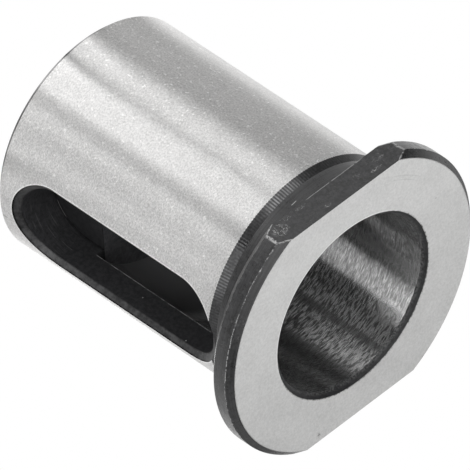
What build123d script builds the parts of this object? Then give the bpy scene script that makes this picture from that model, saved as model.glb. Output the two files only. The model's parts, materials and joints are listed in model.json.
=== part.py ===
from build123d import *
import math
import os

# Driving dimensions, in millimetres. The sleeve stands on its rear end, with
# its axis on +Z and the ground front face of the flange on top. The clamp
# slot faces -Y, and the two flats on the flange face +X and -X.

# Main sizes
body_diameter = 25.0
bore_diameter = 19.05
bore_depth = 26.0
overall_length = 35.0

# Flange with its two parallel flats
flange_diameter = 32.5
flange_thickness = 2.8
flange_chamfer = 0.65
width_across_flats = 27.8

# Undercut between the ground body and the flange
undercut_width = 3.9
undercut_depth = 0.25
undercut_run_out_angle = 15.0
undercut_corner_radius = 0.4

# Slot for the clamp screws. It opens the wall of the bore, and behind the
# bore's bottom it runs on as a flat pocket.
slot_width = 8.6
slot_length = 25.6
slot_depth = 5.0
slot_rear_land = 2.7
slot_edge_chamfer = 0.7

# Edge chamfers
rear_chamfer = 0.5
bore_front_chamfer = 0.5

# Cutting solids run this far past the surfaces that they cut
cut_overrun = 1.0

# Edges are picked by place, to within this distance
pick_tolerance = 0.01


def turned_blank():
    """Half section of the sleeve, turned about the Z axis.

    The section lies on the slot's side, so the slot takes away most of the
    seam that turning leaves on the round surfaces.
    """
    bore = bore_diameter / 2
    bore_bottom = overall_length - bore_depth
    body = body_diameter / 2
    flange = flange_diameter / 2
    undercut = body - undercut_depth
    flange_back = overall_length - flange_thickness
    body_end = flange_back - undercut_width
    run_out = undercut_depth / math.tan(math.radians(undercut_run_out_angle))
    corner = undercut_corner_radius
    section_plane = Plane(origin=(0, 0, 0), x_dir=(0, -1, 0), z_dir=(-1, 0, 0))
    with BuildPart() as blank:
        with BuildSketch(section_plane):
            with BuildLine():
                Polyline(
                    (undercut + corner, flange_back),
                    (flange - flange_chamfer, flange_back),
                    (flange, flange_back + flange_chamfer),
                    (flange, overall_length - flange_chamfer),
                    (flange - flange_chamfer, overall_length),
                    (bore + bore_front_chamfer, overall_length),
                    (bore, overall_length - bore_front_chamfer),
                    (bore, bore_bottom),
                    (0, bore_bottom),
                    (0, 0),
                    (body - rear_chamfer, 0),
                    (body, rear_chamfer),
                    (body, body_end),
                    (undercut, body_end + run_out),
                    (undercut, flange_back - corner),
                )
                RadiusArc(
                    (undercut, flange_back - corner),
                    (undercut + corner, flange_back),
                    corner,
                )
            make_face()
        revolve(axis=Axis.Z)
    return blank.part


def flange_flats():
    """The two pieces that milling the flats takes off the flange."""
    flange = flange_diameter / 2
    flat = width_across_flats / 2
    depth = flange - flat + cut_overrun
    height = flange_thickness + cut_overrun
    base = overall_length - flange_thickness
    cuts = Part()
    for side in (-1, 1):
        cuts += Pos(side * (flat + depth / 2), 0, base + height / 2) * Box(
            depth, flange_diameter + cut_overrun, height
        )
    return cuts


def clamp_slot():
    """Obround cutter that runs from the slot's floor out through the -Y wall."""
    floor = Plane.XZ.offset(body_diameter / 2 - slot_depth)
    centre = slot_rear_land + slot_length / 2
    outline = floor * Pos(0, centre) * SlotOverall(slot_length, slot_width, rotation=90)
    return extrude(outline, slot_depth + cut_overrun)


def slot_outer_edges(bar):
    """The edges of the slot that lie on the outside of a bar."""
    middle_of_wall = (bore_diameter + body_diameter) / 4
    half_width = slot_width / 2 + pick_tolerance
    chosen = []
    for edge in bar.edges():
        point = edge @ 0.5
        outside = math.hypot(point.X, point.Y) > middle_of_wall
        if outside and point.Y < 0 and abs(point.X) <= half_width:
            chosen.append(edge)
    return chosen


def chamfered_slot():
    """What milling and chamfering the slot takes off a plain round bar.

    The chamfer is made on a bar without the undercut, so its size doesn't
    depend on how far the slot reaches towards the flange.
    """
    bar = Pos(0, 0, overall_length / 2) * Cylinder(body_diameter / 2, overall_length)
    milled = bar - clamp_slot()
    milled = chamfer(slot_outer_edges(milled), slot_edge_chamfer)
    return bar - milled


def reducing_sleeve():
    """The finished sleeve, one solid."""
    return turned_blank() - flange_flats() - chamfered_slot()


sleeve = reducing_sleeve()
sleeve.label = "reducing_sleeve"
os.makedirs("parts", exist_ok=True)
export_step(sleeve, "parts/reducing_sleeve.step")
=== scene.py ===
import json
import math

import bmesh
import bpy
from bpy.props import FloatProperty, FloatVectorProperty, IntProperty, PointerProperty
from mathutils import Matrix, Vector


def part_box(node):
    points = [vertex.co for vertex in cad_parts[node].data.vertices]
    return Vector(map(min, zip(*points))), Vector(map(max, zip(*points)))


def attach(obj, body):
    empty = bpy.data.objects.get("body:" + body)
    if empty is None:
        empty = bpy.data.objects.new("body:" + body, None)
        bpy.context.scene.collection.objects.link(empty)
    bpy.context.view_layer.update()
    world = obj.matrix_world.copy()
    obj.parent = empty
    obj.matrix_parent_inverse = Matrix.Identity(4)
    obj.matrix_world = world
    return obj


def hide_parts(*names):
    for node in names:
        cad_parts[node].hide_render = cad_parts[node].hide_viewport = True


bl_info = {
    "name": "Reducing drill sleeve",
    "version": (1, 0, 0),
    "blender": (4, 5, 0),
    "location": "View3D > Sidebar > Sleeve",
    "description": "Ground steel reducing sleeve with a flanged front and a clamp slot",
    "category": "Add Mesh",
}

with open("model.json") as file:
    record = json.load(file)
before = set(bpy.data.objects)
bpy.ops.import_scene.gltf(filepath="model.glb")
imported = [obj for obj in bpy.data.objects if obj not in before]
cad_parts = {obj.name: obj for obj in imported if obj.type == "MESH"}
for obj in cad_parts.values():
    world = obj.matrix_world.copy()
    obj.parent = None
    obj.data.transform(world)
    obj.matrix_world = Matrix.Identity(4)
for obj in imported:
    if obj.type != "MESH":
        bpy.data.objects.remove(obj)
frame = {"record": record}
MM = 0.001

NODE = "reducing_sleeve"
LOW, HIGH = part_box(NODE)
MOUNTS = {mount["name"]: mount for mount in frame["record"]["mounts"]}


def in_mm(metres):
    """A length of the frame in millimetres, rounded to drop its last bits."""
    return round(metres / MM, 4)


# Sizes in millimetres that the mesh and the finishes share
BODY_RADIUS = MOUNTS["body_od"]["dims"]["r_mm"]
BORE_RADIUS = MOUNTS["tool_bore"]["dims"]["r_mm"]
FRONT = in_mm(HIGH.z - LOW.z)
FLANGE_RADIUS = in_mm(HIGH.y - LOW.y) / 2
HALF_FLATS = in_mm(HIGH.x - LOW.x) / 2
FLANGE_THICKNESS = 2.8
FLANGE_CHAMFER = 0.65
END_CHAMFER = 0.5
SLOT_WIDTH = 8.6
SLOT_LENGTH = 25.6
SLOT_LAND = 2.7
SLOT_DEPTH = 5.0
SLOT_CHAMFER = 0.7
CHATTER_MARKS = 252

# Heights and radii that follow from them
FLANGE_BACK = FRONT - FLANGE_THICKNESS
RIM_FRONT = FRONT - FLANGE_CHAMFER
RIM_BACK = FLANGE_BACK + FLANGE_CHAMFER
CHAMFER_RADIUS = FLANGE_RADIUS - FLANGE_CHAMFER
LIP_RADIUS = BORE_RADIUS + END_CHAMFER
SLOT_FLOOR = SLOT_DEPTH - BODY_RADIUS
SLOT_MIDDLE = SLOT_LAND + SLOT_LENGTH / 2
SLOT_STRAIGHT = (SLOT_LENGTH - SLOT_WIDTH) / 2
SLOT_EDGE = SLOT_WIDTH / 2 + SLOT_CHAMFER

# Vertices that are closer than this are merged, before and after the slot is cut
MERGE = 0.0005 * MM
MERGE_CUT = 0.0002 * MM

# The angle from which an edge is shown sharp, and the point that the lights face
SHARP = math.radians(9)
LIT_POINT = Vector((0, 0, 0.02))

# Degrees from close to the camera's azimuth on to the +X side
CAMERA_TO_X = 145.93


def length(label, text, default):
    """A length in metres that a user may change."""
    return FloatProperty(
        name=label,
        description=text,
        default=default,
        min=0.0,
        unit="LENGTH",
        subtype="DISTANCE",
        precision=5,
    )


def angle(label, text, degrees):
    """An angle that a user may change, given in degrees."""
    return FloatProperty(
        name=label,
        description=text,
        default=math.radians(degrees),
        unit="ROTATION",
        subtype="ANGLE",
    )


def number(label, text, default):
    """A plain number that a user may change."""
    return FloatProperty(name=label, description=text, default=default, min=0.0)


def colour(label, text, default):
    """A linear colour that a user may change."""
    return FloatVectorProperty(
        name=label,
        description=text,
        default=default,
        min=0.0,
        max=1.0,
        size=3,
        subtype="COLOR",
    )


class SleeveSizes(bpy.types.PropertyGroup):
    """Sizes of the sleeve."""

    body_radius: length("Body radius", "Radius of the ground body", BODY_RADIUS * MM)
    bore_radius: length("Bore radius", "Radius of the tool bore", BORE_RADIUS * MM)
    bore_depth: length("Bore depth", "From the front face to the bore's bottom", 26.0 * MM)
    overall: length("Overall length", "From the rear end to the front face", HIGH.z - LOW.z)
    flange_radius: length("Flange radius", "Radius of the flange", (HIGH.y - LOW.y) / 2)
    half_flats: length("Half width", "From the axis to each flat", (HIGH.x - LOW.x) / 2)
    flange_thickness: length("Flange thickness", "Thickness of the flange", FLANGE_THICKNESS * MM)
    flange_chamfer: length("Flange chamfer", "Chamfer on both rims of the flange", FLANGE_CHAMFER * MM)
    undercut_width: length("Undercut width", "From the flange to the ground body", 3.9 * MM)
    undercut_depth: length("Undercut depth", "Depth below the ground body", 0.25 * MM)
    run_out: angle("Run-out", "Slope from the undercut up to the body", 15)
    corner: length("Corner", "Radius in the corner under the flange", 0.4 * MM)
    slot_width: length("Slot width", "Width of the clamp slot", SLOT_WIDTH * MM)
    slot_length: length("Slot length", "Length of the clamp slot over its ends", SLOT_LENGTH * MM)
    slot_land: length("Slot land", "From the rear end to the clamp slot", SLOT_LAND * MM)
    slot_depth: length("Slot depth", "From the body down to the slot's floor", SLOT_DEPTH * MM)
    slot_chamfer: length("Slot chamfer", "Chamfer round the outside of the slot", SLOT_CHAMFER * MM)
    end_chamfer: length("End chamfer", "On the rear end and the bore's mouth", END_CHAMFER * MM)
    edge_break: length("Edge break", "Radius left on the sharp edges", 0.045 * MM)
    chatter_count: IntProperty(
        name="Chatter marks",
        description="Marks of the grinding wheel round the run-out",
        default=CHATTER_MARKS,
        min=0,
    )
    chatter_depth: length("Chatter depth", "Depth of the chatter marks", 0.008 * MM)


class SleeveFinish(bpy.types.PropertyGroup):
    """Colours and finishes of the sleeve."""

    ground: colour("Ground steel", "Ground body of the sleeve", (0.64, 0.635, 0.63))
    face: colour("Ground face", "Front and rear faces", (0.62, 0.62, 0.615))
    bore: colour("Honed bore", "Steel of the tool bore", (0.50, 0.50, 0.50))
    oxide: colour("Black oxide", "Blackened surfaces", (0.018, 0.018, 0.019))
    run_out: colour("Run-out", "Slope that the grinding wheel leaves", (0.11, 0.11, 0.112))
    # Worn steel, and also the colour of the painted edge highlights on the blackened parts
    worn_and_highlight: colour("Worn edge", "Steel that shows where the black has worn", (0.50, 0.50, 0.50))


class StudioStage(bpy.types.PropertyGroup):
    """Floor, lights and camera."""

    floor: colour("Floor", "Pale floor", (0.3, 0.3, 0.3))
    floor_size: length("Floor size", "Side of the square floor", 5.0)
    fill: number("Fill", "Radiance of the surrounding white tent", 0.03)
    light_distance: length("Light distance", "From the sleeve to the soft boxes", 0.9)
    azimuth: angle("Azimuth", "Camera's direction round the axis", -145.9643)
    elevation: angle("Elevation", "Camera's height above the horizon", 32.0694)
    roll: angle("Roll", "Turn of the camera about its own axis", 123.7311)
    distance: length("Distance", "From the camera to the point that it looks at", 1.298204)
    lens: FloatProperty(
        name="Focal length",
        description="Focal length on a 36 mm sensor",
        default=1064.54,
        unit="CAMERA",
    )
    aim: FloatVectorProperty(
        name="Aim",
        description="Point that the camera looks at",
        default=(-5.2907 * MM, -4.3614 * MM, 24.1064 * MM),
        size=3,
        unit="LENGTH",
        subtype="TRANSLATION",
    )


# Shader building


class Shader:
    """One material and the nodes that are added to it."""

    def __init__(self, name):
        self.material = bpy.data.materials.new(name)
        self.material.use_nodes = True
        self.nodes = self.material.node_tree.nodes
        self.links = self.material.node_tree.links
        self.surface = self.nodes["Principled BSDF"]
        metres = self.add("ShaderNodeTexCoord").outputs["Object"]
        self.place = self.vector("MULTIPLY", metres, (1 / MM,) * 3)
        self.x, self.y, self.z = self.split(self.place)
        self.radius = self.distance(self.x, self.y)
        self.turn = self.value("DEGREES", self.value("ARCTAN2", self.y, self.x))

    def add(self, kind, **settings):
        node = self.nodes.new(kind)
        for key, value in settings.items():
            setattr(node, key, value)
        return node

    def plug(self, socket, value):
        """Links a socket, or gives it a constant."""
        if isinstance(value, bpy.types.NodeSocket):
            self.links.new(value, socket)
        else:
            socket.default_value = value

    def look(self, colour, metallic, roughness, ior=1.5, specular=0.5):
        """Gives the surface its colour and shine, each a socket or a constant."""
        names = ("Base Color", "Metallic", "Roughness", "IOR", "Specular IOR Level")
        for name, given in zip(names, (colour, metallic, roughness, ior, specular)):
            self.plug(self.surface.inputs[name], given)

    def brushed(self):
        """Stretches the highlights along the axis, across the marks that run round it."""
        self.surface.inputs["Anisotropic"].default_value = 1.0
        self.plug(self.surface.inputs["Tangent"], self.join(0.0, 0.0, 1.0))

    def value(self, operation, a, b=None, c=None):
        node = self.add("ShaderNodeMath", operation=operation)
        for socket, given in zip(node.inputs, (a, b, c)):
            if given is not None:
                self.plug(socket, given)
        return node.outputs[0]

    def vector(self, operation, a, b):
        node = self.add("ShaderNodeVectorMath", operation=operation)
        self.plug(node.inputs[0], a)
        self.plug(node.inputs[1], b)
        return node.outputs[0]

    def split(self, vector):
        node = self.add("ShaderNodeSeparateXYZ")
        self.plug(node.inputs[0], vector)
        return node.outputs

    def join(self, x, y, z):
        node = self.add("ShaderNodeCombineXYZ")
        for socket, given in zip(node.inputs, (x, y, z)):
            self.plug(socket, given)
        return node.outputs[0]

    def noise(self, vector, scale=1.0, detail=2.0, rough=0.5):
        """Smooth noise from 0 to 1 with a mean of a half."""
        node = self.add("ShaderNodeTexNoise")
        self.plug(node.inputs["Vector"], vector)
        node.inputs["Scale"].default_value = scale
        node.inputs["Detail"].default_value = detail
        node.inputs["Roughness"].default_value = rough
        return node.outputs["Fac"]

    def ramp(self, value, low, high, out_low=0.0, out_high=1.0):
        """Smooth step from out_low to out_high while value goes from low to high."""
        node = self.add("ShaderNodeMapRange", interpolation_type="SMOOTHSTEP")
        for socket, given in zip(node.inputs, (value, low, high, out_low, out_high)):
            self.plug(socket, given)
        return node.outputs[0]

    def near(self, value, centre, inner, outer):
        """1 within inner of centre, falling to 0 at outer."""
        away = self.value("ABSOLUTE", self.value("SUBTRACT", value, centre))
        return self.ramp(away, inner, outer, 1.0, 0.0)

    def chain(self, operation, values):
        """Several values joined by one operation."""
        result = values[0]
        for value in values[1:]:
            result = self.value(operation, result, value)
        return result

    def both(self, *values):
        """Product of several masks or numbers."""
        return self.chain("MULTIPLY", values)

    def either(self, *values):
        """Largest of several masks."""
        return self.chain("MAXIMUM", values)

    def total(self, *values):
        """Sum of several values."""
        return self.chain("ADD", values)

    def strongest(self, *marks):
        """Largest of several masks, each given with its own level."""
        return self.either(*(self.both(mask, level) for mask, level in marks))

    def gain(self, mask, amount):
        """1, and more or less than 1 by an amount where a mask is 1."""
        return self.value("MULTIPLY_ADD", mask, amount, 1.0)

    def centred(self, noise, amount):
        """Noise scaled by an amount, with a mean of 0."""
        return self.both(self.value("SUBTRACT", noise, 0.5), amount)

    def distance(self, a, b):
        """Length of the diagonal over two lengths at right angles."""
        return self.value("SQRT", self.total(self.both(a, a), self.both(b, b)))

    def mark(self, turn, height):
        """Small mark on a round side. Both ways it has a centre and an inner and outer half size."""
        return self.both(self.near(self.turn, *turn), self.near(self.z, *height))

    def back_round(self):
        """Degrees round the axis, counted down from 0 on the +X side to -360."""
        return self.value("WRAP", self.turn, 0.0, -360.0)

    def mix(self, factor, a, b):
        node = self.add("ShaderNodeMix", data_type="RGBA")
        self.plug(node.inputs["Factor"], factor)
        self.plug(node.inputs[6], a)
        self.plug(node.inputs[7], b)
        return node.outputs[2]

    def tint(self, base, factor):
        """A colour made lighter or darker by a number."""
        grey = self.join(factor, factor, factor)
        return self.vector("MULTIPLY", (*base,)[:3], grey)

    def spot(self, across, along, centre, size):
        """Soft round or oval spot, centred and sized in millimetres."""
        offset = self.join(
            self.value("DIVIDE", self.value("SUBTRACT", across, centre[0]), size[0]),
            self.value("DIVIDE", self.value("SUBTRACT", along, centre[1]), size[1]),
            0.0,
        )
        node = self.add("ShaderNodeVectorMath", operation="LENGTH")
        self.plug(node.inputs[0], offset)
        return self.ramp(node.outputs["Value"], 0.6, 1.0, 1.0, 0.0)

    def swing(self, amount):
        """The normal, turned a little round the axis, so that reflections shift sideways."""
        geometry = self.add("ShaderNodeNewGeometry")
        around = self.join(
            self.value("DIVIDE", self.both(self.y, -1.0), self.radius),
            self.value("DIVIDE", self.x, self.radius),
            0.0,
        )
        push = self.vector("MULTIPLY", around, self.join(amount, amount, amount))
        node = self.add("ShaderNodeVectorMath", operation="NORMALIZE")
        self.plug(node.inputs[0], self.vector("ADD", geometry.outputs["Normal"], push))
        return node.outputs[0]

    def bump(self, height, distance, normal=None):
        """Bumps the surface by a height of 0 to 1 over a distance in metres."""
        node = self.add("ShaderNodeBump")
        node.inputs["Distance"].default_value = distance
        self.plug(node.inputs["Height"], height)
        if normal is not None:
            self.plug(node.inputs["Normal"], normal)
        self.plug(self.surface.inputs["Normal"], node.outputs[0])


def stretched(shader, across, along, detail=2.0, rough=0.6, seed=0.0):
    """Noise with so many grains to the millimetre across and along the axis."""
    place = shader.join(
        shader.both(shader.x, across),
        shader.both(shader.y, across),
        shader.value("MULTIPLY_ADD", shader.z, along, seed),
    )
    return shader.noise(place, 1.0, detail, rough)


def rings(shader, fine, seed=0.0):
    """Noise that runs round the axis: fine lines across Z, nearly even round the turn."""
    return stretched(shader, 0.12, fine, 3.0, 0.65, seed)


def inside_flange(shader):
    """How far a point lies inside the turned outline of the flange, with its two chamfers."""
    front = shader.value("SUBTRACT", CHAMFER_RADIUS + FRONT, shader.z)
    back = shader.total(CHAMFER_RADIUS - FLANGE_BACK, shader.z)
    outline = shader.value("MINIMUM", FLANGE_RADIUS, shader.value("MINIMUM", front, back))
    return shader.value("SUBTRACT", outline, shader.radius)


def broken(shader, grains, share):
    """Patchy mask that covers about this share of a surface, to break up wear."""
    patches = shader.noise(shader.place, grains, 3.0, 0.7)
    return shader.ramp(patches, 0.62 - 0.24 * share, 0.68 - 0.24 * share)


def from_slot(shader):
    """Distance from the middle line of the slot, as seen along Y."""
    from_middle = shader.value("ABSOLUTE", shader.value("SUBTRACT", shader.z, SLOT_MIDDLE))
    past_straight = shader.value("MAXIMUM", shader.value("SUBTRACT", from_middle, SLOT_STRAIGHT), 0.0)
    return shader.distance(past_straight, shader.x)


def ground_body(finish):
    """Cylindrically ground steel: fine grain that is a little longer round the axis."""
    shader = Shader("ground_body")
    grain = stretched(shader, 5.0, 7.0, 3.0, 0.75)
    cloud = shader.noise(shader.place, 0.7, 3.0, 0.6)
    # Painted glints: bright specks in the colour, stronger on one side round the axis
    glints = shader.ramp(shader.noise(shader.place, 2.8, 3.0, 0.6), 0.6, 0.7)
    strong_glint_side = shader.near(shader.back_round(), -194.0, 14.0, 24.0)
    tone = shader.total(
        shader.ramp(grain, 0.25, 0.75, 0.77, 1.36),
        shader.ramp(cloud, 0.3, 0.7, -0.03, 0.03),
        shader.both(glints, shader.value("MULTIPLY_ADD", strong_glint_side, 0.45, 0.3)),
    )
    stroke = shader.mark((-82.2, 0.2, 0.5), (0.8, 0.2, 0.45))
    speck = shader.mark((-125.0, 0.1, 0.35), (6.5, 0.02, 0.1))
    # Painted highlight: a thin bright line on the body along the slot's outer edge
    slot_rim_highlight = shader.both(
        shader.near(from_slot(shader), SLOT_EDGE + 0.04, 0.02, 0.12), shader.value("LESS_THAN", shader.y, 0.0)
    )
    tone = shader.both(tone, shader.gain(shader.either(stroke, speck), -0.45), shader.gain(slot_rim_highlight, 0.4))
    shader.look(shader.tint(finish.ground, tone), 1.0, shader.ramp(grain, 0.2, 0.8, 0.34, 0.38))
    shader.brushed()
    wander = shader.centred(stretched(shader, 2.6, 5.0, 3.0, 0.75, 40.0), 0.06)
    shader.bump(grain, 0.0008 * MM, normal=shader.swing(wander))
    return shader.material


def ground_face(finish):
    """Ground front and rear faces with a fine grain, faint arcs and a few nicks."""
    shader = Shader("ground_face")
    grain = shader.noise(shader.place, 4.5, 3.0, 0.65)
    cloud = shader.noise(shader.place, 0.35, 2.0, 0.5)
    arcs = shader.noise(shader.join(shader.both(shader.radius, 7.0), 0.0, 0.0), 1.0, 2.0, 0.6)
    # Side of the face with a painted highlight round the bore's rim and no bites
    clean_and_highlight_side = shader.near(shader.back_round(), -150.0, 45.0, 85.0)
    bore_rim_highlight = shader.both(shader.near(shader.radius, LIP_RADIUS + 0.055, 0.02, 0.09), clean_and_highlight_side)
    tone = shader.total(
        shader.ramp(grain, 0.25, 0.75, 0.9, 1.08),
        shader.ramp(arcs, 0.3, 0.7, -0.012, 0.012),
        shader.ramp(cloud, 0.3, 0.7, -0.025, 0.025),
        shader.both(bore_rim_highlight, 0.45),
        # Painted shade: the face gets darker towards +X
        shader.ramp(shader.x, -14.0, 14.0, 0.01, -0.15),
    )
    two_arcs = ((13.8, 0.02, 0.12), (13.35, 0.02, 0.08))
    rubbed = shader.either(*(shader.near(shader.radius, *arc) for arc in two_arcs))
    rubbed = shader.both(rubbed, shader.near(shader.turn, 145.0, 4.0, 12.0))
    nick = shader.both(shader.spot(shader.x, shader.y, (13.1, -5.5), (0.35, 0.22)), broken(shader, 5.0, 0.75))
    pit = shader.spot(shader.x, shader.y, (-5.75, 11.4), (0.12, 0.1))
    scratch = shader.both(
        shader.near(shader.value("MULTIPLY_ADD", shader.x, 0.55, shader.y), 0.6, 0.0, 0.06),
        shader.near(shader.x, 11.8, 0.8, 1.6),
    )
    bites = shader.both(
        shader.ramp(shader.radius, LIP_RADIUS + 0.035, LIP_RADIUS + 0.115, 1.0, 0.0),
        broken(shader, 3.5, 0.5),
        shader.gain(clean_and_highlight_side, -1.0),
    )
    dark = shader.strongest((rubbed, 0.12), (nick, 0.5), (pit, 0.3), (scratch, 0.08), (bites, 0.75))
    tone = shader.both(tone, shader.gain(dark, -1.0))
    shader.look(shader.tint(finish.face, tone), 1.0, 0.42)
    shader.bump(shader.value("MULTIPLY_ADD", nick, -4.0, grain), 0.001 * MM)
    return shader.material


def black_oxide(finish):
    """Blackened turned surfaces: turning lines, and bright steel along the edges, partly real wear and partly
    painted highlight.
    """
    shader = Shader("black_oxide")
    lines = rings(shader, 7.0)
    mottle = shader.noise(shader.place, 2.0, 5.0, 0.75)
    worked = shader.value("MULTIPLY_ADD", lines, 0.5, shader.both(mottle, 0.5))
    tone = shader.ramp(worked, 0.35, 0.65, 0.2, 2.1)
    waver = shader.centred(shader.noise(shader.place, 1.3, 3.0, 0.6), 0.25)
    height = shader.total(shader.z, waver)
    # Bright steel along the rim's front and back edges: painted edge highlights and real wear in one
    on_rim = shader.near(shader.radius, FLANGE_RADIUS - 0.05, 0.02, 0.09)
    front_edge = shader.both(on_rim, shader.near(height, RIM_FRONT - 0.02, 0.0, 0.07))
    slot_side = shader.near(shader.turn, -111.0, 33.0, 37.0)
    rubbed = shader.both(front_edge, slot_side, broken(shader, 6.0, 0.75), broken(shader, 1.7, 0.7))
    touched_and_highlight = shader.both(front_edge, broken(shader, 4.0, 0.5), broken(shader, 0.7, 0.55))
    smear = shader.both(
        on_rim,
        shader.near(height, RIM_FRONT - 0.2, 0.1, 0.35),
        broken(shader, 7.0, 0.3),
        broken(shader, 1.0, 0.5),
    )
    back_edge = shader.both(
        on_rim,
        shader.near(height, RIM_BACK + 0.02, 0.0, 0.08),
        broken(shader, 4.0, 0.6),
        broken(shader, 0.8, 0.6),
    )
    outside = shader.value("GREATER_THAN", shader.radius, CHAMFER_RADIUS + 0.1)
    patches = shader.both(outside, broken(shader, 5.0, 0.4), broken(shader, 0.9, 0.4))
    # Lighter on the rim and its front chamfer at one side round the axis
    far_end = shader.both(
        shader.near(shader.back_round(), -239.0, 8.0, 20.0),
        shader.ramp(shader.z, RIM_FRONT - 0.15, RIM_FRONT + 0.05, 0.3, 0.12),
        shader.value("GREATER_THAN", shader.radius, CHAMFER_RADIUS - 0.1),
    )
    grooves = shader.ramp(rings(shader, 16.0, 5.0), 0.54, 0.62)
    turning = shader.both(shader.near(shader.z, 29.1, 0.3, 0.7), grooves)
    scratch = shader.mark((-169.3, 1.2, 1.8), (30.3, 0.02, 0.06))
    # Bright line where the rim meets each flat: painted edge highlight and wear in one
    at_flat = shader.both(
        shader.near(shader.value("ABSOLUTE", shader.x), HALF_FLATS - 0.02, 0.0, 0.06),
        shader.ramp(shader.z, FLANGE_BACK - 0.1, FLANGE_BACK + 0.1),
        broken(shader, 5.0, 0.6),
    )
    # Mix of bright steel: real wear and marks, and the painted edge highlights
    rub = shader.strongest(
        (rubbed, 1.0),
        (touched_and_highlight, 1.0),
        (smear, 0.2),
        (far_end, 1.0),
        (back_edge, 0.4),
        (patches, 0.06),
        (turning, 0.09),
        (scratch, 0.7),
        (at_flat, 0.5),
    )
    colour = shader.mix(rub, shader.tint(finish.oxide, tone), (*finish.worn_and_highlight, 1))
    shader.look(colour, 0.0, shader.ramp(mottle, 0.35, 0.65, 0.26, 0.42), ior=1.55)
    shader.bump(shader.value("MULTIPLY_ADD", mottle, 1.5, lines), 0.008 * MM)
    return shader.material


def wheel_run_out(finish):
    """Smooth dark slope that the grinding wheel leaves before the undercut, with its chatter marks."""
    shader = Shader("wheel_run_out")
    comb = shader.value("SINE", shader.both(shader.turn, math.radians(CHATTER_MARKS)))
    around = shader.back_round()
    # Painted highlight and real chatter marks in one: the run-out is lighter and its teeth stronger in two
    # bands round the axis
    faint = shader.near(around, -123.0, 3.0, 12.0)
    chatter_and_sheen = shader.value("MULTIPLY_ADD", faint, 0.35, shader.near(around, -168.0, 6.0, 14.0))
    uneven = stretched(shader, 1.2, 1.5, 3.0, 0.7)
    teeth = shader.both(shader.ramp(comb, -0.6, 0.9), shader.ramp(uneven, 0.35, 0.65, 0.3, 1.7))
    mottle = shader.noise(shader.place, 4.0, 3.0, 0.7)
    plain = shader.value("MULTIPLY_ADD", teeth, 0.15, shader.ramp(mottle, 0.3, 0.7, 0.5, 0.85))
    tone = shader.value("MULTIPLY_ADD", chatter_and_sheen, shader.value("MULTIPLY_ADD", teeth, 1.05, 0.2), plain)
    shader.look(shader.tint(finish.run_out, tone), 1.0, 0.3)
    shader.brushed()
    shader.bump(mottle, 0.002 * MM, normal=shader.swing(shader.both(comb, 0.04)))
    return shader.material


def bore_lip(finish):
    """Dull black chamfer at the bore's mouth."""
    shader = Shader("bore_lip")
    mottle = stretched(shader, 2.0, 6.0, 3.0, 0.7)
    inner_edge = shader.ramp(shader.radius, BORE_RADIUS + 0.075, BORE_RADIUS + 0.325, 1.0, 0.0)
    ragged = shader.both(inner_edge, broken(shader, 5.0, 0.6), 0.15)
    dull = shader.tint(finish.oxide, shader.ramp(mottle, 0.3, 0.7, 0.5, 1.7))
    shader.look(shader.mix(ragged, dull, (*finish.worn_and_highlight, 1)), 0.0, 0.5, specular=0.3)
    shader.bump(mottle, 0.004 * MM)
    return shader.material


def blackened_flat(finish):
    """Blackened milled flats, bright along their edges, partly from wear and partly as painted highlight, and
    scuffed.
    """
    shader = Shader("blackened_flat")
    mottle = shader.noise(shader.place, 2.4, 5.0, 0.75)
    left = shader.value("LESS_THAN", shader.x, 0.0)
    waver = shader.centred(shader.noise(shader.place, 2.2, 3.0, 0.6), 0.3)
    # Bright steel along the flat's outline and its seat edge: painted edge highlights and real wear in one
    outline = shader.near(shader.total(inside_flange(shader), waver), 0.05, 0.02, 0.1)
    slot_end = shader.both(outline, shader.ramp(shader.y, -7.0, -6.4, 1.0, 0.0), broken(shader, 5.0, 0.9))
    far_end = shader.both(outline, shader.ramp(shader.y, 6.6, 7.2), broken(shader, 3.0, 1.0))
    seat_edge = shader.both(
        shader.near(shader.value("MULTIPLY_ADD", waver, 0.3, shader.z), FLANGE_BACK + 0.04, 0.0, 0.07),
        shader.near(shader.y, 1.2, 3.2, 4.0),
        broken(shader, 2.0, 0.85),
    )
    wiggle = shader.near(shader.noise(shader.place, 2.2, 3.0, 0.55), 0.5, 0.004, 0.02)
    other_place = shader.vector("ADD", shader.place, (9.0, 9.0, 9.0))
    fine_wiggle = shader.near(shader.noise(other_place, 1.4, 3.0, 0.6), 0.5, 0.002, 0.01)
    # Middle and size along Y and Z in millimetres, and level
    scuffs = (
        ((-6.9, 33.3), (1.1, 0.9), 1.0),
        ((-5.6, 32.6), (0.9, 0.35), 0.7),
        ((-3.6, 32.6), (0.8, 0.25), 0.5),
        ((-1.6, 34.25), (0.45, 0.25), 0.8),
        ((2.8, 33.5), (0.6, 0.3), 0.3),
        ((4.8, 34.2), (0.9, 0.25), 0.8),
        ((6.0, 33.2), (0.9, 0.5), 0.4),
    )
    scuffed = shader.strongest(
        *((shader.spot(shader.y, shader.z, centre, size), level) for centre, size, level in scuffs)
    )
    # Mix of bright steel: real wear and scuffs, and the painted edge highlights
    rub = shader.strongest(
        (shader.both(left, slot_end), 0.9),
        (far_end, 0.6),
        (seat_edge, 0.5),
        (shader.both(left, scuffed, wiggle), 0.8),
        (shader.both(left, scuffed, broken(shader, 4.0, 0.6)), 0.06),
        (shader.both(fine_wiggle, broken(shader, 0.8, 0.6)), 0.1),
    )
    nick = shader.both(left, shader.spot(shader.y, shader.z, (-8.2, 33.6), (0.2, 0.2)))
    dull = shader.tint(finish.oxide, shader.ramp(mottle, 0.35, 0.65, 0.25, 1.8))
    colour = shader.mix(rub, dull, (*finish.worn_and_highlight, 1))
    shader.look(colour, 0.0, shader.ramp(mottle, 0.3, 0.7, 0.36, 0.48), ior=1.57)
    shader.bump(shader.value("MULTIPLY_ADD", nick, -3.0, mottle), 0.008 * MM)
    return shader.material


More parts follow.
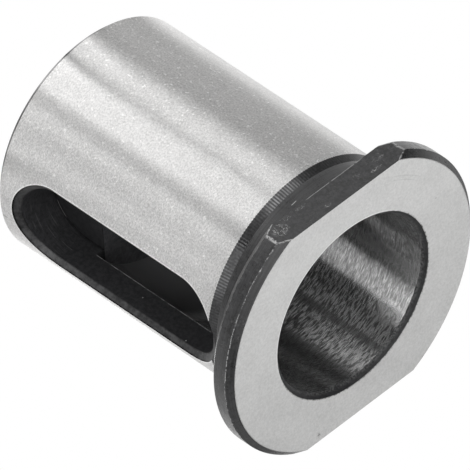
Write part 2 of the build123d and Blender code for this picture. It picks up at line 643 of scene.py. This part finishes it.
def honed_bore(finish):
    """Bore wall with fine scratches round the axis that catch the light one by one, painted reflection bands
    round it and painted shade deeper down.
    """
    shader = Shader("honed_bore")
    streak = stretched(shader, 1.2, 6.5, 2.0, 0.6)
    fine = stretched(shader, 1.6, 7.0, 2.0, 0.6, 20.0)
    # Painted dark reflection: a dark line along the bore at about 22 degrees round its axis
    dark_reflection_line = shader.near(shader.turn, 22.0, 1.0, 4.0)
    # Painted sheen: the scratches show strongest from about 0 to 45 degrees round the axis, where the painted
    # reflections are bright
    scratches_and_sheen = shader.both(
        shader.ramp(shader.turn, -2.0, 4.0),
        shader.ramp(shader.turn, 40.0, 48.0, 1.0, 0.25),
        shader.gain(dark_reflection_line, -0.8),
    )
    bright = shader.gain(shader.ramp(streak, 0.4, 0.7, -0.65, 1.35), scratches_and_sheen)
    # Painted reflection bands: middle in degrees, inner and outer half width, and gain
    bands = (
        (56.0, 4.0, 12.0, -0.25),
        (73.0, 2.0, 7.0, 0.5),
        (12.0, 5.0, 8.0, 0.25),
        (29.0, 2.0, 7.0, 0.35),
    )
    # The same for painted reflection bands that grow towards the mouth, with the height where they start
    mouth_bands = (
        (9.0, 3.0, 7.0, 28.0, 0.5),
        (41.0, 4.0, 8.0, 29.5, 0.55),
    )
    # Painted reflection steps round the bore, each from one azimuth to the next and from one level to the
    # next
    steps = (
        (-3.0, 7.0, 1.1, 1.4),
        (36.0, 46.0, 1.0, 1.12),
        (70.0, 86.0, 1.0, 0.62),
    )
    # Painted reflections: the bore's lightness in steps and bands round its axis
    painted_reflections = shader.gain(dark_reflection_line, -0.35)
    for step in steps:
        painted_reflections = shader.both(painted_reflections, shader.ramp(shader.turn, *step))
    for middle, inner, outer, amount in bands:
        painted_reflections = shader.both(painted_reflections, shader.gain(shader.near(shader.turn, middle, inner, outer), amount))
    for middle, inner, outer, start, amount in mouth_bands:
        band = shader.both(shader.near(shader.turn, middle, inner, outer), shader.ramp(shader.z, start, 33.0))
        painted_reflections = shader.both(painted_reflections, shader.gain(band, amount))
    # Painted shade: the wall gets darker by this much for each millimetre below the mouth
    fade = 0.032
    depth = shader.value("MAXIMUM", shader.value("MULTIPLY_ADD", shader.z, fade, 1.05 - FRONT * fade), 0.7)
    tone = shader.both(bright, shader.ramp(fine, 0.3, 0.7, 0.72, 1.35), painted_reflections, depth)
    specks = shader.either(
        shader.mark((-7.1, 0.3, 0.7), (32.2, 0.03, 0.1)), shader.mark((-8.2, 0.3, 0.6), (33.0, 0.02, 0.07))
    )
    steel = shader.tint(finish.bore, shader.total(specks, tone))
    # Below about 20 mm the bore turns dull and dark, lighter again towards its bottom
    dull = shader.ramp(shader.z, 18.0, 21.0, 1.0, 0.0)
    deep_tone = shader.tint(finish.run_out, shader.ramp(shader.z, 9.0, 19.0, 1.7, 0.42))
    roughness = shader.value("MULTIPLY_ADD", dull, 0.3, 0.25)
    shader.look(shader.mix(dull, steel, deep_tone), shader.gain(dull, -1.0), roughness)
    shader.brushed()
    swing = shader.both(shader.ramp(streak, 0.25, 0.75, -1.0, 1.0), scratches_and_sheen, 0.018)
    shader.bump(fine, 0.001 * MM, normal=shader.swing(swing))
    return shader.material


def slot_wall(finish):
    """Dull black floor and walls of the slot, with the cutter's marks and a rubbed inner edge."""
    shader = Shader("slot_wall")
    mottle = shader.noise(shader.place, 2.6, 4.0, 0.7)
    from_centre = shader.value("SUBTRACT", shader.z, SLOT_MIDDLE - SLOT_STRAIGHT)
    sweep = shader.value("DEGREES", shader.value("ARCTAN2", from_centre, shader.x))
    right = shader.value("GREATER_THAN", shader.x, 0.0)
    # Depth along Y, middle and reach in degrees round the slot's rear end, and level
    arcs = (
        (-7.6, -55.5, 9.0, 0.32),
        (-8.9, -49.0, 5.0, 0.12),
        (-9.85, -38.0, 6.0, 0.1),
        (-10.4, -60.5, 8.0, 0.1),
        (-11.0, -59.0, 2.0, 0.1),
        (-10.7, -82.0, 2.0, 0.1),
    )
    marks = []
    for depth, middle, reach, level in arcs:
        swept = shader.near(sweep, middle, reach, reach + 6.0)
        marks.append((shader.both(shader.near(shader.y, depth, 0.0, 0.05), swept), level))
    rippled = shader.join(shader.both(sweep, 0.03), shader.both(shader.y, 8.0), 0.0)
    ripple = shader.noise(rippled, 1.0, 3.0, 0.7)
    at_end = shader.both(shader.ramp(shader.z, 6.0, 7.0, 1.0, 0.0), shader.ramp(ripple, 0.54, 0.66))
    line = shader.both(shader.near(shader.y, -9.6, 0.0, 0.06), shader.near(shader.z, 6.2, 0.5, 0.9), right)
    inner_edge = shader.both(
        shader.near(shader.radius, BORE_RADIUS + 0.015, 0.01, 0.07),
        shader.value("GREATER_THAN", shader.x, 4.0),
        shader.near(shader.z, 16.75, 7.4, 7.9),
        shader.ramp(shader.noise(shader.place, 2.4, 3.0, 0.7), 0.35, 0.6, 0.15, 0.8),
    )
    # Middle and size along Y and Z
    dots = (
        ((-8.5, 19.3), (0.1, 0.12)),
        ((-9.6, 16.3), (0.08, 0.08)),
        ((-10.9, 23.4), (0.08, 0.1)),
    )
    dotted = shader.either(*(shader.spot(shader.y, shader.z, centre, size) for centre, size in dots))
    dotted = shader.both(dotted, right)
    rub = shader.strongest(*marks, (at_end, 0.04), (line, 0.1), (inner_edge, 1.0), (dotted, 0.7))
    # Painted shade: the slot's floor is darker than its walls, and the bore's bottom past the floor's edge is
    # lighter
    floor_shade = shader.total(
        shader.ramp(shader.y, SLOT_FLOOR - 0.4, SLOT_FLOOR - 0.1, 1.0, 0.55),
        shader.ramp(shader.y, SLOT_FLOOR + 0.01, SLOT_FLOOR + 0.08, 0.0, 1.5),
    )
    dull = shader.tint(finish.oxide, shader.both(shader.ramp(mottle, 0.3, 0.7, 1.5, 2.6), floor_shade))
    shader.look(shader.mix(rub, dull, (*finish.worn_and_highlight, 1)), 0.0, 0.5, specular=0.08)
    shader.bump(mottle, 0.003 * MM)
    return shader.material


def slot_chamfer(finish):
    """Blackened chamfer round the slot, with the cutter's strokes across it and painted shade along its
    borders.
    """
    shader = Shader("slot_chamfer")
    mottle = shader.noise(shader.place, 1.3, 4.0, 0.7)
    strokes = shader.both(broken(shader, 5.0, 0.35), shader.ramp(shader.z, 24.5, 26.5))
    rubbed = shader.both(shader.near(shader.z, 7.0, 2.0, 5.0), broken(shader, 3.0, 0.6))
    away = from_slot(shader)
    # Painted shade: a dark line along the chamfer's outer border and a darker strip along its inner border
    edges = shader.both(
        shader.ramp(away, SLOT_EDGE - 0.2, SLOT_EDGE - 0.05, 1.0, 0.2),
        shader.ramp(away, SLOT_WIDTH / 2, SLOT_WIDTH / 2 + 0.15, 0.5, 1.0),
    )
    dull = shader.tint(finish.run_out, shader.both(shader.ramp(mottle, 0.3, 0.7, 0.35, 0.9), edges))
    rub = shader.strongest((strokes, 0.12), (rubbed, 0.03))
    colour = shader.mix(rub, dull, (*finish.worn_and_highlight, 1))
    shader.look(colour, 1.0, shader.ramp(mottle, 0.3, 0.7, 0.36, 0.52))
    shader.bump(mottle, 0.01 * MM)
    return shader.material


FINISHES = (
    ground_body,
    ground_face,
    black_oxide,
    blackened_flat,
    honed_bore,
    slot_wall,
    slot_chamfer,
    wheel_run_out,
    bore_lip,
)
BODY, FACE, OXIDE, FLAT, BORE, WALL, CHAMFER, RUN_OUT, LIP = range(len(FINISHES))


# Mesh building


def body_end(sizes):
    """Height at which the ground body gives way to the run-out."""
    return sizes.overall - sizes.flange_thickness - sizes.undercut_width


def run_out_top(sizes):
    """Height at which the run-out reaches the depth of the undercut."""
    return body_end(sizes) + sizes.undercut_depth / math.tan(sizes.run_out)


def section(sizes):
    """Half section of the sleeve at the slot's side, open at the two ends near the axis."""
    undercut = sizes.body_radius - sizes.undercut_depth
    back = sizes.overall - sizes.flange_thickness
    rim, chamfer, end = sizes.flange_radius, sizes.flange_chamfer, sizes.end_chamfer
    bottom = sizes.overall - sizes.bore_depth
    # The two ends stop short of the axis, and the holes that they leave are filled later
    core = 0.2 * sizes.bore_radius
    # Radius, height and how far the corner is rounded
    corners = (
        (core, bottom, 0.0),
        (sizes.bore_radius, bottom, 0.0),
        (sizes.bore_radius, sizes.overall - end, sizes.edge_break),
        (sizes.bore_radius + end, sizes.overall, sizes.edge_break),
        (rim - chamfer, sizes.overall, sizes.edge_break),
        (rim, sizes.overall - chamfer, sizes.edge_break),
        (rim, back + chamfer, sizes.edge_break),
        (rim - chamfer, back, sizes.edge_break),
        (undercut, back, sizes.corner),
        (undercut, run_out_top(sizes), 0.0),
        (sizes.body_radius, body_end(sizes), 0.0),
        (sizes.body_radius, end, sizes.edge_break),
        (sizes.body_radius - end, 0.0, sizes.edge_break),
        (core, 0.0, 0.0),
    )
    mesh = bmesh.new()
    points = [mesh.verts.new((0.0, -radius, height)) for radius, height, _ in corners]
    for first, second in zip(points, points[1:]):
        mesh.edges.new((first, second))
    for point, (_, _, rounding) in zip(points, corners):
        if rounding:
            bmesh.ops.bevel(
                mesh,
                geom=[point],
                offset=rounding,
                offset_type="OFFSET",
                segments=12 if rounding > sizes.edge_break else 3,
                profile=0.5,
                affect="VERTICES",
                material=-1,
            )
    return mesh


def closed(mesh):
    """The mesh with its open rims filled and its normals outwards."""
    rims = [edge for edge in mesh.edges if edge.is_boundary]
    bmesh.ops.holes_fill(mesh, edges=rims, sides=0)
    bmesh.ops.recalc_face_normals(mesh, faces=mesh.faces)
    return mesh


def turned_blank(sizes):
    """The section spun about the axis, in steps of a quarter of a chatter mark."""
    mesh = section(sizes)
    bmesh.ops.spin(
        mesh,
        geom=mesh.verts[:] + mesh.edges[:],
        cent=(0, 0, 0),
        axis=(0, 0, 1),
        angle=math.tau,
        steps=4 * sizes.chatter_count,
        use_merge=True,
    )
    bmesh.ops.remove_doubles(mesh, verts=mesh.verts, dist=MERGE)
    return closed(mesh)


def flat_sides(mesh, sizes):
    """Cuts the two flats off the flange."""
    for side in (-1, 1):
        bmesh.ops.bisect_plane(
            mesh,
            geom=mesh.verts[:] + mesh.edges[:] + mesh.faces[:],
            dist=MERGE,
            plane_co=(side * sizes.half_flats, 0, 0),
            plane_no=(side, 0, 0),
            clear_outer=True,
        )
        rim = [edge for edge in mesh.edges if edge.is_boundary]
        bmesh.ops.edgeloop_fill(mesh, edges=rim)
    bmesh.ops.recalc_face_normals(mesh, faces=mesh.faces)


def outer_radius(sizes, height):
    """Radius of the outside of the body at a height, with the run-out."""
    drop = max(0.0, height - body_end(sizes)) * math.tan(sizes.run_out)
    return sizes.body_radius - min(drop, sizes.undercut_depth)


def on_body(sizes, x, z, depth=0.0):
    """Point on the slot's side of the body, or so far below its surface."""
    return Vector((x, depth - math.sqrt(outer_radius(sizes, z) ** 2 - x**2), z))


def slot_cutter(sizes):
    """Obround solid from the slot's floor outwards, flared where it leaves the body."""
    mesh = bmesh.new()
    count = 128
    flare = 2.5
    half = sizes.slot_width / 2
    straight = (sizes.slot_length - sizes.slot_width) / 2
    centre = sizes.slot_land + sizes.slot_length / 2
    bmesh.ops.create_circle(mesh, cap_ends=False, segments=count, radius=half)
    for turn, axis in ((math.pi / count, "Z"), (math.pi / 2, "X")):
        bmesh.ops.rotate(mesh, verts=mesh.verts, cent=(0, 0, 0), matrix=Matrix.Rotation(turn, 3, axis))
    bmesh.ops.scale(mesh, verts=mesh.verts, vec=(1 / math.cos(math.pi / count), 1, 1))
    start = mesh.verts[:]
    outward = [Vector((vert.co.x, 0, vert.co.z)).normalized() for vert in start]
    for vert in start:
        vert.co.z += math.copysign(straight, vert.co.z) + centre
        vert.co.y = sizes.slot_depth - sizes.body_radius
    corners = [vert.co.copy() for vert in start]

    def extend(edges, order, points):
        """Grows a ring of walls from a loop of edges up to one point for each vertex."""
        grown = bmesh.ops.extrude_edge_only(mesh, edges=edges)["geom"]
        new_order = {}
        for vert in (item for item in grown if isinstance(item, bmesh.types.BMVert)):
            neighbours = (edge.other_vert(vert) for edge in vert.link_edges)
            new_order[vert] = order[next(near for near in neighbours if near in order)]
        for vert, index in new_order.items():
            vert.co = points[index]
        return [item for item in grown if isinstance(item, bmesh.types.BMEdge)], new_order

    inner = [on_body(sizes, co.x, co.z, sizes.slot_chamfer) for co in corners]
    edge_points = [co + way * sizes.slot_chamfer for co, way in zip(corners, outward)]
    outer = [on_body(sizes, spot.x, spot.z) for spot in edge_points]
    past_body = [low + (high - low) * flare for low, high in zip(inner, outer)]
    loop, order = extend(mesh.edges[:], {vert: index for index, vert in enumerate(start)}, inner)
    extend(loop, order, past_body)
    return closed(mesh)


def as_object(mesh, name):
    """Puts a bmesh into a new object at the origin."""
    data = bpy.data.meshes.new(name)
    mesh.to_mesh(data)
    mesh.free()
    piece = bpy.data.objects.new(name, data)
    bpy.context.scene.collection.objects.link(piece)
    return piece


def cut(piece, tool):
    """Takes the tool's volume off the piece and removes the tool."""
    modifier = piece.modifiers.new("cut", "BOOLEAN")
    modifier.operation = "DIFFERENCE"
    modifier.solver = "EXACT"
    modifier.object = tool
    graph = bpy.context.evaluated_depsgraph_get()
    result = bpy.data.meshes.new_from_object(piece.evaluated_get(graph))
    piece.modifiers.clear()
    piece.data = result
    bpy.data.objects.remove(tool)


def run_out_chatter(mesh, sizes):
    """Scallops the edge between body and run-out, as a wheel that chatters leaves it."""
    close = 0.01 * MM
    reach = sizes.chatter_depth / math.tan(sizes.run_out)
    for vert in mesh.verts:
        radius = math.hypot(vert.co.x, vert.co.y)
        if abs(vert.co.z - body_end(sizes)) > close or abs(radius - sizes.body_radius) > close:
            continue
        turn = math.atan2(vert.co.y, vert.co.x)
        vert.co.z += math.sin(turn * sizes.chatter_count) * reach


def finish_of(face, sizes):
    """Which finish a face has, from its place and direction."""
    spot, way = face.calc_center_median(), face.normal
    radius = math.hypot(spot.x, spot.y)
    tiny = 0.02 * MM
    if spot.z > sizes.overall - sizes.edge_break and way.z > 0.75 or spot.z < tiny and way.z < -0.9:
        return FACE
    if abs(spot.x) > sizes.half_flats - tiny:
        return FLAT
    if spot.z > sizes.overall - sizes.end_chamfer - tiny and radius < sizes.bore_radius + sizes.end_chamfer:
        return LIP
    if radius < tiny or spot.z < sizes.overall - sizes.bore_depth + tiny and way.z > 0.9:
        return WALL
    # 1 where a face looks straight out from the axis, and -1 where it looks at the axis
    across = (way.x * spot.x + way.y * spot.y) / radius
    if across < -0.95 and radius < sizes.bore_radius + tiny:
        return BORE
    if across > 0.95 and radius > sizes.body_radius - tiny and spot.z < body_end(sizes):
        return BODY
    if across > 0.9 and body_end(sizes) - 0.1 * MM < spot.z < run_out_top(sizes):
        return RUN_OUT
    in_slot = abs(spot.x) < sizes.slot_width / 2 + sizes.slot_chamfer + tiny and spot.y < 0
    floor = sizes.body_radius - sizes.slot_depth
    if in_slot and abs(spot.y + floor) < tiny:
        return WALL
    below_flange = sizes.overall - sizes.flange_thickness - 2 * MM
    if in_slot and floor - tiny < radius < sizes.body_radius + tiny and abs(across) < 0.93:
        if sizes.end_chamfer < spot.z < below_flange:
            return WALL if abs(way.y) < 0.2 else CHAMFER
    return OXIDE


class OBJECT_OT_reducing_sleeve(bpy.types.Operator):
    """Build the sleeve with its flange, flats, undercut, bore and clamp slot"""

    bl_idname = "object.reducing_sleeve"
    bl_label = "Add Sleeve"

    def execute(self, context):
        sizes, finish = context.scene.sleeve_sizes, context.scene.sleeve_finish
        mesh = turned_blank(sizes)
        run_out_chatter(mesh, sizes)
        flat_sides(mesh, sizes)
        sleeve = as_object(mesh, "sleeve")
        cut(sleeve, as_object(slot_cutter(sizes), "slot_cutter"))
        for make in FINISHES:
            sleeve.data.materials.append(make(finish))
        mesh = bmesh.new()
        mesh.from_mesh(sleeve.data)
        bmesh.ops.remove_doubles(mesh, verts=mesh.verts, dist=MERGE_CUT)
        for face in mesh.faces:
            face.smooth = True
            face.material_index = finish_of(face, sizes)
        if any(edge.is_boundary for edge in mesh.edges):
            raise RuntimeError("the sleeve has an open edge")
        mesh.to_mesh(sleeve.data)
        mesh.free()
        sleeve.data.set_sharp_from_angle(angle=SHARP)
        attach(sleeve, "root")
        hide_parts(NODE)
        return {"FINISHED"}


# Studio


def soft_box(name, azimuth, low, high, spread, radiance, distance):
    """Rectangular light that faces the sleeve. Azimuths and heights are degrees seen from it."""
    middle = math.radians((low + high) / 2)
    tall = 2 * distance * math.tan(math.radians(high - low) / 2)
    wide = 2 * distance * math.tan(math.radians(spread) / 2) * math.cos(middle)
    data = bpy.data.lights.new(name, "AREA")
    data.shape = "RECTANGLE"
    data.size, data.size_y = wide, tall
    data.energy = radiance * math.pi * wide * tall
    lamp = bpy.data.objects.new(name, data)
    turn = math.radians(azimuth)
    away = Vector((math.cos(turn) * math.cos(middle), math.sin(turn) * math.cos(middle), math.sin(middle)))
    lamp.location = LIT_POINT + away * distance
    lamp.rotation_mode = "QUATERNION"
    lamp.rotation_quaternion = away.to_track_quat("Z", "Y")
    lamp.visible_camera = False
    bpy.context.scene.collection.objects.link(lamp)


class SCENE_OT_sleeve_studio(bpy.types.Operator):
    """Set up the pale floor, the soft boxes, the white tent and the camera"""

    bl_idname = "scene.sleeve_studio"
    bl_label = "Add Studio"

    def execute(self, context):
        stage = context.scene.sleeve_stage
        self.floor(stage)
        self.tent(context, stage)
        self.lights(stage)
        self.camera(context, stage)
        context.scene.view_settings.view_transform = "Standard"
        return {"FINISHED"}

    def floor(self, stage):
        mesh = bmesh.new()
        bmesh.ops.create_grid(mesh, x_segments=1, y_segments=1, size=stage.floor_size / 2)
        floor = as_object(mesh, "floor")
        shader = Shader("pale_floor")
        shader.look((*stage.floor, 1), 0.0, 0.9)
        lit = shader.add("ShaderNodeAddShader")
        shader.plug(lit.inputs[0], shader.surface.outputs[0])
        shader.plug(lit.inputs[1], self.table_glow(shader))
        white = shader.add("ShaderNodeEmission")
        path = shader.add("ShaderNodeLightPath")
        blend = shader.add("ShaderNodeMixShader")
        shader.plug(blend.inputs[0], path.outputs["Is Camera Ray"])
        shader.plug(blend.inputs[1], lit.outputs[0])
        shader.plug(blend.inputs[2], white.outputs[0])
        shader.plug(shader.nodes["Material Output"].inputs["Surface"], blend.outputs[0])
        floor.data.materials.append(shader.material)

    def table_glow(self, shader):
        """Light from below round the sleeve, as on a light table: stronger on some sides than others."""
        sides = (
            # azimuth in degrees and radiance, which changes evenly from one row to the next
            (12, 1.1),
            (30, 4.2),
            (42, 0.0),
            (60, 1.25),
            (78, 1.05),
            (96, 0.55),
            (120, 0.65),
            (140, 0.5),
            (148, 0.75),
            (154, 1.3),
            (168, 0.85),
            (174, 0.0),
            (180, 1.2),
            (186, 1.35),
            (204, 1.5),
            (212, 0.75),
            (224, 0.6),
            (240, 0.25),
            (262, 0.6),
            (272, 0.2),
            (286, 0.75),
            (346, 0.7),
        )
        # Turned so that the rows run out from the surface of the body, not from its axis
        around = shader.value("WRAP", shader.turn, 360.0, 0.0)
        outside = shader.value("MAXIMUM", shader.radius, BODY_RADIUS + 0.1)
        lever = shader.value("DIVIDE", BODY_RADIUS, outside)
        heading = around
        for _ in range(2):
            half = shader.both(shader.total(heading, CAMERA_TO_X), 0.5)
            sine = shader.value("SINE", shader.value("RADIANS", half))
            turned = shader.value("ARCSINE", shader.both(lever, sine))
            heading = shader.value("SUBTRACT", around, shader.value("DEGREES", turned))
        ramp = shader.add("ShaderNodeValToRGB")
        share = shader.value("DIVIDE", heading, 360.0)
        shader.plug(ramp.inputs["Fac"], shader.value("WRAP", share, 1.0, 0.0))
        steps = ramp.color_ramp.elements
        steps.remove(steps[1])
        steps[0].color = (1, 1, 1, 1)
        for azimuth, radiance in (*sides, (360, 1.0)):
            steps.new(azimuth / 360).color = (radiance, radiance, radiance, 1)
        glow = shader.add("ShaderNodeEmission")
        shader.plug(glow.inputs["Color"], ramp.outputs["Color"])
        shader.plug(glow.inputs["Strength"], shader.ramp(shader.radius, 100.0, 160.0, 1.0, 0.0))
        return glow.outputs[0]

    def tent(self, context, stage):
        world = bpy.data.worlds.new("tent")
        context.scene.world = world
        world.use_nodes = True
        nodes, links = world.node_tree.nodes, world.node_tree.links
        path = nodes.new("ShaderNodeLightPath")
        level = nodes.new("ShaderNodeMapRange")
        level.inputs["To Min"].default_value = stage.fill
        links.new(path.outputs["Is Camera Ray"], level.inputs["Value"])
        links.new(level.outputs[0], nodes["Background"].inputs["Strength"])
        nodes["Background"].inputs["Color"].default_value = (1, 1, 1, 1)

    def lights(self, stage):
        boxes = (
            # name, azimuth, low, high, spread, radiance
            ("back_low", 27, 1, 19, 30, 0.4),
            ("side_low", 66, 1, 19, 48, 0.95),
            ("left_low", 165, 1, 19, 42, 0.8),
            ("front_low", 231, 1, 19, 18, 4.0),
            ("slot_low", 258, 1, 19, 36, 2.8),
            ("edge_low", 288, 1, 19, 24, 1.1),
            ("right_low", 336, 1, 43, 72, 0.5),
            ("back_middle", 36, 19, 43, 24, 1.1),
            ("left_middle", 159, 19, 43, 30, 2.1),
            ("key_middle", 180, 19, 43, 12, 3.1),
            ("front_middle", 198, 19, 43, 24, 0.95),
            ("slot_middle", 249, 19, 43, 18, 0.45),
            ("back_high", 30, 43, 70, 60, 1.5),
            ("key_high", 192, 43, 70, 72, 2.2),
            ("slot_high", 264, 43, 70, 72, 1.5),
        )
        for box in boxes:
            soft_box(*box, stage.light_distance)

    def camera(self, context, stage):
        data = bpy.data.cameras.new("camera")
        data.lens, data.sensor_width = stage.lens, 36
        data.clip_start, data.clip_end = 0.1, 10
        camera = bpy.data.objects.new("camera", data)
        context.scene.collection.objects.link(camera)
        up = math.radians(90) - stage.elevation
        camera.matrix_world = (
            Matrix.Translation(stage.aim)
            @ Matrix.Rotation(stage.azimuth + math.radians(90), 4, "Z")
            @ Matrix.Rotation(up, 4, "X")
            @ Matrix.Rotation(stage.roll, 4, "Z")
            @ Matrix.Translation((0, 0, stage.distance))
        )
        context.scene.camera = camera


class VIEW3D_PT_sleeve(bpy.types.Panel):
    """Lists the steps and the values of the sleeve"""

    bl_label = "Reducing sleeve"
    bl_idname = "VIEW3D_PT_sleeve"
    bl_space_type = "VIEW_3D"
    bl_region_type = "UI"
    bl_category = "Sleeve"

    def draw(self, context):
        layout, scene = self.layout, context.scene
        for operator in OPERATORS:
            layout.operator(operator.bl_idname)
        for group in (scene.sleeve_sizes, scene.sleeve_finish, scene.sleeve_stage):
            box = layout.box()
            for name in group.__annotations__:
                box.prop(group, name)


OPERATORS = (OBJECT_OT_reducing_sleeve, SCENE_OT_sleeve_studio)
GROUPS = {"sleeve_sizes": SleeveSizes, "sleeve_finish": SleeveFinish, "sleeve_stage": StudioStage}


def register():
    for item in (*GROUPS.values(), *OPERATORS, VIEW3D_PT_sleeve):
        bpy.utils.register_class(item)
    for name, group in GROUPS.items():
        setattr(bpy.types.Scene, name, PointerProperty(type=group))


def unregister():
    for name in GROUPS:
        delattr(bpy.types.Scene, name)
    for item in reversed((*GROUPS.values(), *OPERATORS, VIEW3D_PT_sleeve)):
        bpy.utils.unregister_class(item)


def main():
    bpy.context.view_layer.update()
    register()
    bpy.ops.object.reducing_sleeve()
    bpy.ops.scene.sleeve_studio()


if __name__ == "__main__":
    main()
